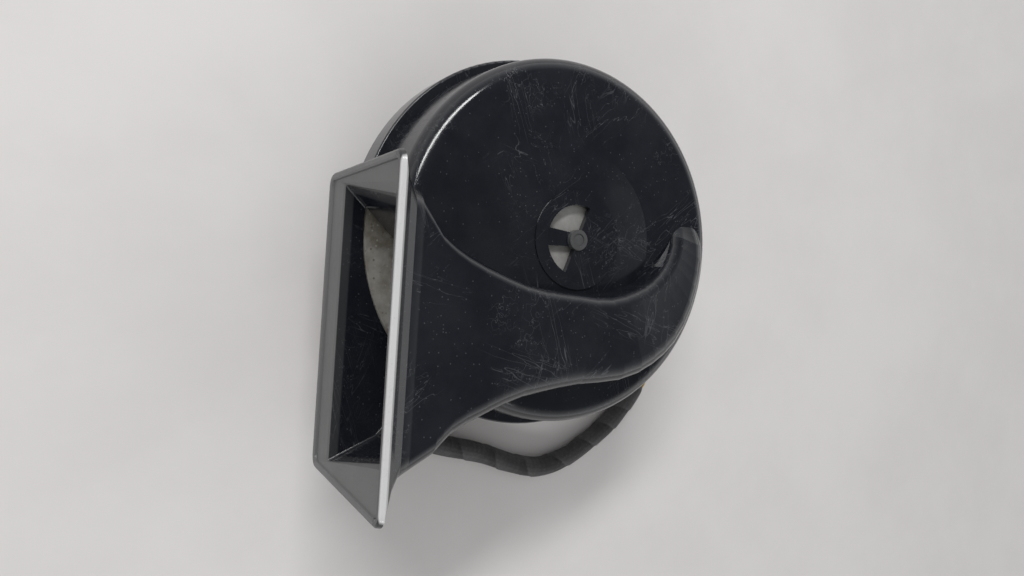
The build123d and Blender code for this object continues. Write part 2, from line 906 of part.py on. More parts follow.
def lead_wire_ground():
    route = wire_start(-1, ground_first_run) + ground_wire_route + wire_end(-1)
    return tube("lead_wire_ground", route, wire_diameter)


def lead_tape():
    return tube("lead_tape", lead_route, lead_diameter)


def conductor_end(side, length):
    before, last = (Vector(*point) for point in lead_route[-2:])
    along = (last - before).normalized()
    beside = Vector(-along.Y, along.X, 0).normalized()
    base = last + beside * (side * conductor_offset)
    return Plane(origin=base, z_dir=along) * post(conductor_diameter / 2, 0, length)


def conductor_end_live():
    return conductor_end(1, live_end_length)


def conductor_end_ground():
    return conductor_end(-1, ground_end_length)


# Writing the pieces

pieces = [
    snail_housing,
    centre_cap,
    front_plate,
    front_gasket,
    diaphragm,
    rear_gasket,
    driver_pan,
    pole_core,
    core_retainer,
    coil_bobbin,
    coil_winding,
    coil_tails,
    armature,
    armature_stud,
    spacer_washer,
    clamp_washer,
    stud_nut,
    contact_bracket,
    bracket_rivets,
    lower_insulator,
    contact_spring,
    moving_contact,
    upper_insulator,
    fixed_contact_arm,
    fixed_contact,
    contact_rivets,
    adjusting_screw,
    spark_resistor,
    terminal_block,
    terminal_blade_live,
    terminal_blade_ground,
    connector_live,
    connector_ground,
    lead_wire_live,
    lead_wire_ground,
    lead_tape,
    conductor_end_live,
    conductor_end_ground,
]

os.makedirs("parts", exist_ok=True)
for piece in pieces:
    export_step(piece(), f"parts/{piece.__name__}.step")
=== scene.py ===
from math import radians

import bpy
import numpy as np
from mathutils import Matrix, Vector


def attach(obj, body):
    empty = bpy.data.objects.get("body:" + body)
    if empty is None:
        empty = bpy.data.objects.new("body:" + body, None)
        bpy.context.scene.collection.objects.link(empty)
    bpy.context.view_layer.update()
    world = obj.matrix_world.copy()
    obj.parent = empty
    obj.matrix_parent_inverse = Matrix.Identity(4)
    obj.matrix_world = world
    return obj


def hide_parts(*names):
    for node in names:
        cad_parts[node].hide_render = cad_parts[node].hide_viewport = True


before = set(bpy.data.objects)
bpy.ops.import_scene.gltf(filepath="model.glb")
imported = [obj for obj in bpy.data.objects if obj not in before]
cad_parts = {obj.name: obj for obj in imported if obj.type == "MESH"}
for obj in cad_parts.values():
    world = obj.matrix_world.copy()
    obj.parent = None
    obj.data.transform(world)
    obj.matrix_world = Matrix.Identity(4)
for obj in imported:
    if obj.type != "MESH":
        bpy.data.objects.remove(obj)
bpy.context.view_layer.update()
print("frame loaded:", len(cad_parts), "pieces")

# Where the Mix node keeps its two colours and its mixed colour
mixFirst, mixSecond, mixResult = 6, 7, 2

# Camera and light

cameraLook = {
    "place": (-0.10055, -0.01466, 0.19536),
    "turn": (-1.1163, -29.3007, 4.0),
    "lens": 27.21,
    "sensor": 36.0,
    "nearest": 0.01,
}


def makeCamera():
    data = bpy.data.cameras.new("camera")
    data.lens = cameraLook["lens"]
    data.sensor_width = cameraLook["sensor"]
    data.clip_start = cameraLook["nearest"]
    camera = bpy.data.objects.new("camera", data)
    camera.location = cameraLook["place"]
    camera.rotation_euler = [radians(angle) for angle in cameraLook["turn"]]
    bpy.context.collection.objects.link(camera)
    bpy.context.scene.camera = camera


lightLook = {
    "window": {"place": (-0.30, 0.52, 0.62), "size": (0.60, 0.10), "power": 4.5},
    "fill": {"place": (-0.25, -0.95, 0.62), "size": (1.0, 0.14), "power": 2.6},
    "aim": (0.0, -0.01, 0.03),
    "ambient": (0.50, 0.50, 0.50),
    "horizon": (1.3, 1.3, 1.3),
    "zenith": (0.135, 0.138, 0.148),
    "zenithStart": 0.62,
}


def makeAreaLight(name):
    look = lightLook[name]
    place = Vector(look["place"])
    data = bpy.data.lights.new(name, "AREA")
    data.shape = "RECTANGLE"
    data.size, data.size_y = look["size"]
    data.energy = look["power"]
    light = bpy.data.objects.new(name, data)
    light.location = place
    light.rotation_euler = (Vector(lightLook["aim"]) - place).to_track_quat("-Z", "Y").to_euler()
    bpy.context.collection.objects.link(light)


def makeWorld():
    # Dull surfaces get an even light. Glossy ones mirror a room that is bright low down and dim overhead.
    world = bpy.data.worlds.new("studio")
    bpy.context.scene.world = world
    world.use_nodes = True
    nodes, links = world.node_tree.nodes, world.node_tree.links
    nodes.clear()
    coords = nodes.new("ShaderNodeTexCoord")
    split = nodes.new("ShaderNodeSeparateXYZ")
    ramp = nodes.new("ShaderNodeValToRGB")
    low, high = ramp.color_ramp.elements
    low.position = 0.0
    low.color = (*lightLook["horizon"], 1)
    high.position = lightLook["zenithStart"]
    high.color = (*lightLook["zenith"], 1)
    rays = nodes.new("ShaderNodeLightPath")
    mix = nodes.new("ShaderNodeMix")
    mix.data_type = "RGBA"
    mix.inputs[mixFirst].default_value = (*lightLook["ambient"], 1)
    background = nodes.new("ShaderNodeBackground")
    output = nodes.new("ShaderNodeOutputWorld")
    links.new(coords.outputs["Generated"], split.inputs["Vector"])
    links.new(split.outputs["Z"], ramp.inputs["Fac"])
    links.new(rays.outputs["Is Glossy Ray"], mix.inputs["Factor"])
    links.new(ramp.outputs["Color"], mix.inputs[mixSecond])
    links.new(mix.outputs[mixResult], background.inputs["Color"])
    links.new(background.outputs["Background"], output.inputs["Surface"])


# Short ways to write shader nodes


def mathNode(tree, operation, first, second=None, clamp=False):
    node = tree.nodes.new("ShaderNodeMath")
    node.operation = operation
    node.use_clamp = clamp
    for index, value in enumerate((first, second)):
        if value is None:
            continue
        if isinstance(value, (int, float)):
            node.inputs[index].default_value = value
        else:
            tree.links.new(value, node.inputs[index])
    return node.outputs["Value"]


def plus(tree, first, second, clamp=False):
    return mathNode(tree, "ADD", first, second, clamp)


def minus(tree, first, second):
    return mathNode(tree, "SUBTRACT", first, second)


def times(tree, first, second, clamp=False):
    return mathNode(tree, "MULTIPLY", first, second, clamp)


def larger(tree, first, second):
    return mathNode(tree, "MAXIMUM", first, second)


def spread(tree, value, low, high, toLow=0.0, toHigh=1.0):
    node = tree.nodes.new("ShaderNodeMapRange")
    node.interpolation_type = "SMOOTHSTEP"
    node.inputs["From Min"].default_value = low
    node.inputs["From Max"].default_value = high
    node.inputs["To Min"].default_value = toLow
    node.inputs["To Max"].default_value = toHigh
    tree.links.new(value, node.inputs["Value"])
    return node.outputs["Result"]


def noise(tree, vector, scale, detail=2.0, roughness=0.5):
    node = tree.nodes.new("ShaderNodeTexNoise")
    node.inputs["Detail"].default_value = detail
    node.inputs["Roughness"].default_value = roughness
    if isinstance(scale, (int, float)):
        node.inputs["Scale"].default_value = scale
    else:
        tree.links.new(scale, node.inputs["Scale"])
    tree.links.new(vector, node.inputs["Vector"])
    return node.outputs["Fac"]


def turnedVector(tree, vector, rotation, scale):
    node = tree.nodes.new("ShaderNodeMapping")
    node.vector_type = "TEXTURE"
    node.inputs["Rotation"].default_value = [radians(angle) for angle in rotation]
    node.inputs["Scale"].default_value = scale
    tree.links.new(vector, node.inputs["Vector"])
    return node.outputs["Vector"]


# Shader groups that several finishes share. Each puts out one mask.

effectLook = {
    "scratchTurns": ((0, 0, 20), (10, 5, 75), (-8, 12, 130), (90, 10, 40), (20, 80, 5)),
    "scratchStretch": (1.0, 9.0, 1.0),
    "scratchWidth": 0.004,
    "patchScale": 75.0,
    "patchStretch": (1.0, 2.5, 1.0),
    "patchRange": (0.56, 0.68),
    "speckRange": (0.12, 0.3),
    "fineCloudScale": 3.7,
    "cloudShare": 0.65,
    "fineCloudShare": 0.35,
    "cloudRange": (0.36, 0.64),
}


def newGroup(name, **values):
    group = bpy.data.node_groups.new(name, "ShaderNodeTree")
    group.interface.new_socket("Vector", in_out="INPUT", socket_type="NodeSocketVector")
    for label, value in values.items():
        socket = group.interface.new_socket(label, in_out="INPUT", socket_type="NodeSocketFloat")
        socket.default_value = value
    group.interface.new_socket("Mask", in_out="OUTPUT", socket_type="NodeSocketFloat")
    return group, group.nodes.new("NodeGroupInput").outputs, group.nodes.new("NodeGroupOutput").inputs


def makeScratchGroup():
    # Hairlines are where a stretched noise crosses its middle value, broken up by a coarser noise.
    group, given, wanted = newGroup("hairlineScratches", Scale=60.0, Amount=1.0)
    total = None
    for angles in effectLook["scratchTurns"]:
        stretched = turnedVector(group, given["Vector"], angles, effectLook["scratchStretch"])
        value = noise(group, stretched, given["Scale"], 3.0, 0.6)
        ridge = mathNode(group, "ABSOLUTE", minus(group, value, 0.5))
        line = spread(group, ridge, 0.0, effectLook["scratchWidth"], 1.0, 0.0)
        wider = turnedVector(group, given["Vector"], angles, effectLook["patchStretch"])
        patches = noise(group, wider, effectLook["patchScale"])
        line = times(group, line, spread(group, patches, *effectLook["patchRange"]))
        total = line if total is None else larger(group, total, line)
    group.links.new(times(group, total, given["Amount"], clamp=True), wanted["Mask"])
    return group


def makeSpeckGroup():
    # Specks are the cores of scattered cells, in the share of cells whose random value is low enough.
    group, given, wanted = newGroup("scatteredSpecks", Scale=700.0, Share=0.15)
    cells = group.nodes.new("ShaderNodeTexVoronoi")
    group.links.new(given["Vector"], cells.inputs["Vector"])
    group.links.new(given["Scale"], cells.inputs["Scale"])
    core = spread(group, cells.outputs["Distance"], *effectLook["speckRange"], 1.0, 0.0)
    split = group.nodes.new("ShaderNodeSeparateColor")
    group.links.new(cells.outputs["Color"], split.inputs["Color"])
    kept = mathNode(group, "LESS_THAN", split.outputs["Red"], given["Share"])
    group.links.new(times(group, core, kept), wanted["Mask"])
    return group


def makeCloudGroup():
    # Clouds are a coarse and a fine noise, added by their shares and stretched to the full range.
    group, given, wanted = newGroup("unevenClouds", Scale=40.0)
    coarse = noise(group, given["Vector"], given["Scale"], 5.0, 0.6)
    fine = noise(group, given["Vector"], times(group, given["Scale"], effectLook["fineCloudScale"]), 4.0, 0.7)
    coarse = times(group, coarse, effectLook["cloudShare"])
    fine = times(group, fine, effectLook["fineCloudShare"])
    group.links.new(spread(group, plus(group, coarse, fine), *effectLook["cloudRange"]), wanted["Mask"])
    return group


shared = {"scratches": makeScratchGroup(), "specks": makeSpeckGroup(), "clouds": makeCloudGroup()}


# A finish is a material with one shader, and short ways to add effects to it


class Finish:
    def __init__(self, name):
        self.material = bpy.data.materials.new(name)
        self.material.use_nodes = True
        self.tree = self.material.node_tree
        self.tree.nodes.clear()
        output = self.tree.nodes.new("ShaderNodeOutputMaterial")
        self.shader = self.tree.nodes.new("ShaderNodeBsdfPrincipled")
        self.tree.links.new(self.shader.outputs["BSDF"], output.inputs["Surface"])
        self.place = self.tree.nodes.new("ShaderNodeTexCoord").outputs["Object"]

    def effect(self, name, **values):
        node = self.tree.nodes.new("ShaderNodeGroup")
        node.node_tree = shared[name]
        self.tree.links.new(self.place, node.inputs["Vector"])
        for label, value in values.items():
            node.inputs[label].default_value = value
        return node.outputs["Mask"]

    def mix(self, share, first, second):
        node = self.tree.nodes.new("ShaderNodeMix")
        node.data_type = "RGBA"
        for index, value in ((mixFirst, first), (mixSecond, second)):
            if isinstance(value, tuple):
                node.inputs[index].default_value = (*value, 1)
            else:
                self.tree.links.new(value, node.inputs[index])
        self.tree.links.new(share, node.inputs["Factor"])
        return node.outputs[mixResult]

    def feed(self, label, value):
        if isinstance(value, (int, float)):
            self.shader.inputs[label].default_value = value
        else:
            self.tree.links.new(value, self.shader.inputs[label])

    def grain(self, scale, detail=3.0):
        return noise(self.tree, self.place, scale, detail)

    def bump(self, height, distance, strength):
        node = self.tree.nodes.new("ShaderNodeBump")
        node.inputs["Strength"].default_value = strength
        node.inputs["Distance"].default_value = distance
        self.tree.links.new(height, node.inputs["Height"])
        self.tree.links.new(node.outputs["Normal"], self.shader.inputs["Normal"])


# Housing: gloss black plastic with a film of dust, hairline scratches and specks, a painted sheen on the
# satin places and a painted highlight on the flare's top edge

plasticLook = {
    "black": (0.0060, 0.0070, 0.0105),
    "dust": (0.11, 0.115, 0.13),
    "dustScale": 38.0,
    "dustShare": 0.06,
    "scuff": (0.24, 0.25, 0.27),
    "scratchScale": 130.0,
    "scratchAmount": 0.4,
    "fineScratchScale": 299.0,
    "fineScratchAmount": 0.5,
    "scratchShare": 0.5,
    "speckScale": 1500.0,
    "speckCount": 0.1,
    "speckShare": 0.18,
    "roughness": 0.10,
    "dustRoughness": 0.09,
    "satinRoughness": 0.3,
    "scratchRoughness": 0.3,
    "peelScale": 260.0,
    "peelHeight": 0.35,
    "scratchDepth": 0.6,
    "bumpHeight": 0.00006,
    "bumpStrength": 0.5,
}

# The satin places of the housing, with their painted sheen grey and the painted highlight of the flare's top
# edge, in metres along X and Z from the part's origin
satinLook = {
    "satin": (0.112, 0.113, 0.113),
    "creasePlace": -0.0490,
    "creaseHeight": 0.026,
    "creaseLean": 0.0928,
    "flareEdge": (-0.0002, 0.0001),
    "flareShare": 0.7,
    "stripEdge": (0.0016, 0.0022),
    "stripShare": 0.25,
    "glossHeights": (0.0588, 0.0598),
    "glossShare": 0.85,
    "lip": (0.66, 0.66, 0.66),
    "lipHeights": (0.0618, 0.0623),
    "lipShare": 0.85,
    "hubEdge": (0.0024, 0.0026),
    "hubShare": 0.6,
}


def makeFlareMasks(finish):
    # The flare is satin up to the leaning crease where the throat begins, and a strip behind the crease a
    # little so; both get a grey that is painted sheen.
    # The flare's highest part is glossier and gets less of the painted sheen, and its top edge gets a pale
    # painted highlight.
    tree, look = finish.tree, satinLook
    split = tree.nodes.new("ShaderNodeSeparateXYZ")
    tree.links.new(finish.place, split.inputs["Vector"])
    height = split.outputs["Z"]
    lean = times(tree, minus(tree, height, look["creaseHeight"]), look["creaseLean"])
    depth = minus(tree, minus(tree, split.outputs["X"], lean), look["creasePlace"])
    flare = spread(tree, depth, *look["flareEdge"], 1.0, 0.0)
    strip = spread(tree, depth, *look["stripEdge"], 1.0, 0.0)
    satin = plus(tree, times(tree, flare, look["flareShare"]), times(tree, strip, look["stripShare"]))
    gloss = times(tree, spread(tree, height, *look["glossHeights"]), look["glossShare"])
    satin = times(tree, satin, minus(tree, 1.0, gloss))
    wearAndHighlight = times(tree, flare, spread(tree, height, *look["lipHeights"]))
    return satin, times(tree, wearAndHighlight, look["lipShare"])


def makeHubMask(finish):
    # The vent's hub is a disc around the part's Z axis.
    tree, look = finish.tree, satinLook
    level = tree.nodes.new("ShaderNodeVectorMath")
    level.operation = "MULTIPLY"
    level.inputs[1].default_value = (1, 1, 0)
    tree.links.new(finish.place, level.inputs[0])
    reach = tree.nodes.new("ShaderNodeVectorMath")
    reach.operation = "LENGTH"
    tree.links.new(level.outputs["Vector"], reach.inputs[0])
    return spread(tree, reach.outputs["Value"], *look["hubEdge"], look["hubShare"], 0.0)


def makeBlackPlastic():
    look = plasticLook
    finish = Finish("glossBlackPlastic")
    tree = finish.tree
    clouds = finish.effect("clouds", Scale=look["dustScale"])
    lines = finish.effect("scratches", Scale=look["scratchScale"], Amount=look["scratchAmount"])
    finer = finish.effect("scratches", Scale=look["fineScratchScale"], Amount=look["fineScratchAmount"])
    specks = finish.effect("specks", Scale=look["speckScale"], Share=look["speckCount"])
    marks = larger(tree, lines, finer)
    satin, wearAndHighlight = makeFlareMasks(finish)
    # The hub disc is mixed in with the same grey and roughness.
    satin = larger(tree, satin, makeHubMask(finish))
    colour = finish.mix(times(tree, clouds, look["dustShare"]), look["black"], look["dust"])
    # Painted sheen: the satin places get a grey that stands in for the light they reflect.
    colour = finish.mix(satin, colour, satinLook["satin"])
    # Painted highlight: the flare's top edge is made pale where light catches it, not worn.
    colour = finish.mix(wearAndHighlight, colour, satinLook["lip"])
    colour = finish.mix(times(tree, marks, look["scratchShare"]), colour, look["scuff"])
    colour = finish.mix(times(tree, specks, look["speckShare"]), colour, look["scuff"])
    finish.feed("Base Color", colour)
    rough = plus(tree, times(tree, clouds, look["dustRoughness"]), look["roughness"])
    rough = plus(tree, rough, times(tree, satin, look["satinRoughness"]))
    rough = plus(tree, rough, times(tree, marks, look["scratchRoughness"]), clamp=True)
    finish.feed("Roughness", rough)
    peel = times(tree, finish.grain(look["peelScale"], 2.0), look["peelHeight"])
    height = minus(tree, peel, times(tree, marks, look["scratchDepth"]))
    finish.bump(height, look["bumpHeight"], look["bumpStrength"])
    return finish.material


# Front plate: dull zinc with dirt in patches and specks, and pale salt specks

plateLook = {
    "zinc": (0.60, 0.58, 0.53),
    "dirt": (0.20, 0.175, 0.135),
    "dirtScale": 55.0,
    "dirtSpeckScale": 800.0,
    "dirtSpeckCount": 0.45,
    "dirtSpeckShare": 0.8,
    "salt": (0.62, 0.60, 0.55),
    "saltScale": 1000.0,
    "saltCount": 0.4,
    "saltShare": 0.75,
    "metallic": 0.55,
    "dirtyRoughness": 0.66,
    "cleanSmoothing": -0.18,
    "grainScale": 900.0,
    "bumpHeight": 0.0001,
    "bumpStrength": 0.4,
}


def makeZincPlate():
    look = plateLook
    finish = Finish("dullZincPlate")
    tree = finish.tree
    clouds = finish.effect("clouds", Scale=look["dirtScale"])
    dirt = finish.effect("specks", Scale=look["dirtSpeckScale"], Share=look["dirtSpeckCount"])
    salt = finish.effect("specks", Scale=look["saltScale"], Share=look["saltCount"])
    colour = finish.mix(clouds, look["dirt"], look["zinc"])
    colour = finish.mix(times(tree, dirt, look["dirtSpeckShare"]), colour, look["dirt"])
    colour = finish.mix(times(tree, salt, look["saltShare"]), colour, look["salt"])
    finish.feed("Base Color", colour)
    finish.feed("Metallic", look["metallic"])
    finish.feed("Roughness", plus(tree, times(tree, clouds, look["cleanSmoothing"]), look["dirtyRoughness"]))
    grain = finish.grain(look["grainScale"])
    finish.bump(plus(tree, dirt, grain), look["bumpHeight"], look["bumpStrength"])
    return finish.material


# Plain metals, and dull plastics and rubber

metalLook = {
    "scratchScale": 220.0,
    "scratchAmount": 0.5,
    "scratchRoughness": 0.15,
    "wornRoughness": 0.08,
    "cleanSmoothing": -0.12,
    "grainScale": 1500.0,
    "bumpHeight": 0.00004,
    "bumpStrength": 0.5,
}
dullLook = {
    "dustScale": 90.0,
    "dustShare": 0.45,
    "speckScale": 1500.0,
    "speckCount": 0.12,
    "speckShare": 0.7,
    "dustRoughness": 0.12,
    "grainScale": 1200.0,
    "bumpHeight": 0.00008,
    "bumpStrength": 0.6,
}


def makeMetal(name, colour, wearAndHighlight, roughness, metallic=1.0, scale=120.0):
    look = metalLook
    finish = Finish(name)
    tree = finish.tree
    clouds = finish.effect("clouds", Scale=scale)
    lines = finish.effect("scratches", Scale=look["scratchScale"], Amount=look["scratchAmount"])
    # In the metals this colour is real wear, laid in cloudy patches.
    finish.feed("Base Color", finish.mix(clouds, wearAndHighlight, colour))
    finish.feed("Metallic", metallic)
    rough = plus(tree, times(tree, clouds, look["cleanSmoothing"]), roughness + look["wornRoughness"])
    rough = plus(tree, rough, times(tree, lines, look["scratchRoughness"]), clamp=True)
    finish.feed("Roughness", rough)
    grain = finish.grain(look["grainScale"])
    finish.bump(minus(tree, grain, lines), look["bumpHeight"], look["bumpStrength"])
    return finish.material


def makeDull(name, colour, dusty, roughness):
    look = dullLook
    finish = Finish(name)
    tree = finish.tree
    clouds = finish.effect("clouds", Scale=look["dustScale"])
    specks = finish.effect("specks", Scale=look["speckScale"], Share=look["speckCount"])
    share = larger(tree, times(tree, clouds, look["dustShare"]), times(tree, specks, look["speckShare"]))
    finish.feed("Base Color", finish.mix(share, colour, dusty))
    rough = plus(tree, times(tree, clouds, look["dustRoughness"]), roughness, clamp=True)
    finish.feed("Roughness", rough)
    finish.bump(finish.grain(look["grainScale"]), look["bumpHeight"], look["bumpStrength"])
    return finish.material


finishes = {
    "plastic": makeBlackPlastic(),
    "zincPlate": makeZincPlate(),
    "zinc": makeMetal("zincPlatedSteel", (0.56, 0.56, 0.55), (0.34, 0.33, 0.31), 0.36),
    "capZinc": makeMetal(
        "greyCapMetal", (0.42, 0.42, 0.40), (0.28, 0.27, 0.26), 0.5, metallic=0.3, scale=90.0,
    ),
    "springSteel": makeMetal("springSteel", (0.5, 0.5, 0.52), (0.38, 0.38, 0.40), 0.28),
    "brass": makeMetal("terminalBrass", (0.78, 0.60, 0.22), (0.52, 0.37, 0.13), 0.3),
    "copper": makeMetal("windingCopper", (0.74, 0.36, 0.20), (0.50, 0.22, 0.12), 0.3, scale=300.0),
    "contact": makeMetal("contactMetal", (0.66, 0.66, 0.66), (0.40, 0.40, 0.41), 0.3),
    "paint": makeMetal(
        "blackPaintedSteel", (0.022, 0.023, 0.025), (0.055, 0.052, 0.05), 0.36, metallic=0.0, scale=60.0,
    ),
    "block": makeDull("satinBlackPlastic", (0.018, 0.018, 0.02), (0.07, 0.07, 0.07), 0.45),
    "gasket": makeDull("gasketRubber", (0.02, 0.02, 0.02), (0.06, 0.06, 0.055), 0.7),
    "bobbin": makeDull("creamBobbinPlastic", (0.66, 0.6, 0.48), (0.45, 0.40, 0.31), 0.5),
    "ceramic": makeDull("resistorCeramic", (0.50, 0.45, 0.36), (0.34, 0.30, 0.24), 0.6),
    "sleeve": makeDull("wireSleeve", (0.014, 0.014, 0.015), (0.06, 0.058, 0.055), 0.42),
}

nodeFinishes = {
    "snail_housing": "plastic",
    "centre_cap": "capZinc",
    "front_plate": "zincPlate",
    "front_gasket": "gasket",
    "diaphragm": "springSteel",
    "rear_gasket": "gasket",
    "driver_pan": "paint",
    "pole_core": "zinc",
    "core_retainer": "springSteel",
    "coil_bobbin": "bobbin",
    "coil_winding": "copper",
    "coil_tails": "copper",
    "armature": "zinc",
    "armature_stud": "zinc",
    "spacer_washer": "zinc",
    "clamp_washer": "zinc",
    "stud_nut": "zinc",
    "contact_bracket": "zinc",
    "bracket_rivets": "zinc",
    "lower_insulator": "bobbin",
    "contact_spring": "springSteel",
    "moving_contact": "contact",
    "upper_insulator": "bobbin",
    "fixed_contact_arm": "brass",
    "fixed_contact": "contact",
    "contact_rivets": "brass",
    "adjusting_screw": "zinc",
    "spark_resistor": "ceramic",
    "terminal_block": "block",
    "terminal_blade_live": "brass",
    "terminal_blade_ground": "brass",
    "connector_live": "brass",
    "connector_ground": "brass",
    "conductor_end_live": "brass",
    "conductor_end_ground": "brass",
}
for nodeName, finishName in nodeFinishes.items():
    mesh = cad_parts[nodeName].data
    mesh.materials.clear()
    mesh.materials.append(finishes[finishName])
print("finishes set on", len(nodeFinishes), "pieces")

# Lead: two wires from the connectors into a taped bundle. Points in metres.

leadRoute = [
    (-0.0150, -0.0542, 0.0042),
    (-0.0080, -0.0563, 0.0034),
    (-0.0009, -0.0575, 0.0031),
    (0.0083, -0.0607, 0.0031),
    (0.0179, -0.0634, 0.0031),
    (0.0276, -0.0612, 0.0031),
    (0.0363, -0.0563, 0.0031),
    (0.0443, -0.0504, 0.0031),
    (0.0510, -0.0432, 0.0031),
    (0.0539, -0.0392, 0.0031),
]
liveRoute = [
    (-0.03662, -0.03726, 0.01200),
    (-0.03968, -0.03983, 0.01200),
    (-0.04100, -0.04330, 0.01080),
    (-0.04020, -0.04700, 0.00950),
    (-0.03730, -0.04960, 0.00810),
    (-0.03080, -0.05060, 0.00660),
    (-0.02460, -0.05090, 0.00560),
    (-0.01782, -0.05202, 0.00440),
    (-0.01010, -0.05409, 0.00400),
]
groundRoute = [
    (-0.04305, -0.02959, 0.01200),
    (-0.04604, -0.03210, 0.01200),
    (-0.04760, -0.03690, 0.01090),
    (-0.04650, -0.04240, 0.00960),
    (-0.04320, -0.04780, 0.00820),
    (-0.03790, -0.05150, 0.00690),
    (-0.03100, -0.05300, 0.00610),
    (-0.02470, -0.05390, 0.00530),
    (-0.01842, -0.05425, 0.00440),
    (-0.01070, -0.05631, 0.00400),
]
# Steps from one point of a route to the next
routeSteps = 16

wireLook = {
    "diameter": 0.0018,
    "rings": 90,
    "sides": 20,
}
tapeLook = {
    "diameter": 0.0060,
    "rings": 300,
    "sides": 56,
    "pathPoints": 80,
    "pitch": 0.0098,
    "pitchWaves": ((0.22, 0.0171, 0.0), (0.12, 0.0063, 1.0)),
    "base": 0.00025,
    "step": 0.00028,
    "stepWidth": 0.06,
    "stepSink": 0.9,
    "lumpHeight": 0.000132,
    "lumpWaves": (
        (0.45, 0.0052, 2, 0.0),
        (0.35, 0.0031, -1, 0.7),
        (0.3, 0.0118, 3, 2.0),
        (0.25, 0.0017, 4, 0.0),
    ),
    "ovalHeight": 0.00016,
    "ovalSwing": 0.4,
    "ovalLength": 0.014,
    "endLength": 0.0016,
    "endShare": 0.14,
    "lowest": 0.0001,
}
clothLook = {
    "paintedGrooveShade": (0.020, 0.020, 0.022),
    "paintedEdgeLight": (0.062, 0.062, 0.066),
    "dust": (0.085, 0.08, 0.075),
    "dustScale": 140.0,
    "dustShare": 0.3,
    "lint": (0.16, 0.15, 0.14),
    "lintScale": 1600.0,
    "lintCount": 0.2,
    "lintShare": 0.4,
    "roughness": 0.72,
    "dustSmoothing": -0.12,
    "girth": 0.0236,
    "length": 0.079,
    "weaveScale": 210.0,
    "weaveDistortion": 1.2,
    "grainScale": 900.0,
    "bumpHeight": 0.00012,
    "bumpStrength": 0.7,
}


def routeLine(name, route):
    # A smooth curve of the second degree, drawn in towards the points of the route.
    data = bpy.data.curves.new(name, "CURVE")
    data.dimensions = "3D"
    data.resolution_u = routeSteps
    spline = data.splines.new("NURBS")
    spline.points.add(len(route) - 1)
    for point, place in zip(spline.points, route):
        point.co = (*place, 1)
    spline.order_u = 3
    spline.use_endpoint_u = True
    curve = bpy.data.objects.new(name, data)
    bpy.context.collection.objects.link(curve)
    bpy.context.view_layer.update()
    mesh = bpy.data.meshes.new_from_object(curve.evaluated_get(bpy.context.evaluated_depsgraph_get()))
    line = np.array([vertex.co[:] for vertex in mesh.vertices])
    bpy.data.objects.remove(curve)
    return line


def evenLine(line, count):
    gaps = np.linalg.norm(np.diff(line, axis=0), axis=1)
    along = np.concatenate([[0.0], np.cumsum(gaps)])
    wanted = np.linspace(0.0, along[-1], count)
    return np.stack([np.interp(wanted, along, line[:, axis]) for axis in range(3)], axis=1), wanted


def gridMesh(name, points):
    # A grid of rings joined into quads, with the first and last ring closed by one face each.
    rings, sides = points.shape[:2]
    mesh = bpy.data.meshes.new(name)
    index = np.arange(rings * sides).reshape(rings, sides)
    nextIndex = np.roll(index, -1, axis=1)
    quads = np.stack([index[:-1], nextIndex[:-1], nextIndex[1:], index[1:]], axis=-1).reshape(-1, 4)
    faces = quads.tolist() + [index[0, ::-1].tolist(), index[-1].tolist()]
    mesh.from_pydata(points.reshape(-1, 3).tolist(), [], faces)
    mesh.polygons.foreach_set("use_smooth", np.ones(len(mesh.polygons), dtype=bool))
    piece = bpy.data.objects.new(name, mesh)
    bpy.context.collection.objects.link(piece)
    return piece


def aroundLine(centre, sides):
    # The angles around a line, and for each of its points a unit direction at each angle. The
    # directions are made of one that is level, and one square to it and to the line.
    tangent = np.gradient(centre, axis=0)
    tangent /= np.linalg.norm(tangent, axis=1, keepdims=True)
    sideways = np.cross(tangent, [0.0, 0.0, 1.0])
    sideways /= np.linalg.norm(sideways, axis=1, keepdims=True)
    upward = np.cross(sideways, tangent)
    angle = np.linspace(0, 2 * np.pi, sides, endpoint=False)[None, :]
    across = sideways[:, None, :] * np.cos(angle)[..., None]
    return angle, across + upward[:, None, :] * np.sin(angle)[..., None]


def makeWire(name, route):
    # A plain round tube: the line plus one radius along every direction around it.
    centre = evenLine(routeLine(name + "_route", route), wireLook["rings"])[0]
    around = aroundLine(centre, wireLook["sides"])[1]
    return gridMesh(name, centre[:, None, :] + around * wireLook["diameter"] / 2), centre


def makeTape(line):
    # The tape's surface is a slightly oval tube. Its radius steps up at the wrap's edge and sinks back
    # over the turn, and it has low lumps from the wires under it. Both ends are drawn in a little, and
    # it lies flat where it would reach below the table.
    look = tapeLook
    centre, along = evenLine(line, look["rings"])
    angle, around = aroundLine(centre, look["sides"])
    place = along[:, None]
    drift = sum(high * np.sin(along / long + start) for high, long, start in look["pitchWaves"])
    pitch = look["pitch"] * (1 + drift)
    turns = np.cumsum(np.gradient(along) / pitch)[:, None] + angle / (2 * np.pi)
    climb = turns % 1.0
    edge = np.clip(climb / look["stepWidth"], 0, 1) * (1 - look["stepSink"] * climb)
    lumps = sum(
        high * np.sin(place / long + count * angle + start) for high, long, count, start in look["lumpWaves"]
    )
    oval = np.cos(2 * angle + look["ovalSwing"] * np.sin(place / look["ovalLength"]))
    radius = look["diameter"] / 2 - look["base"] + look["step"] * edge
    radius = radius + look["lumpHeight"] * lumps - look["ovalHeight"] * oval
    fade = np.clip(np.minimum(place, along[-1] - place) / look["endLength"], 0, 1)
    radius = radius * (1 - look["endShare"] + look["endShare"] * np.sqrt(fade))
    points = centre[:, None, :] + around * radius[..., None]
    points[..., 2] = np.maximum(points[..., 2], look["lowest"])
    return gridMesh("lead_tape_wrapped", points), climb


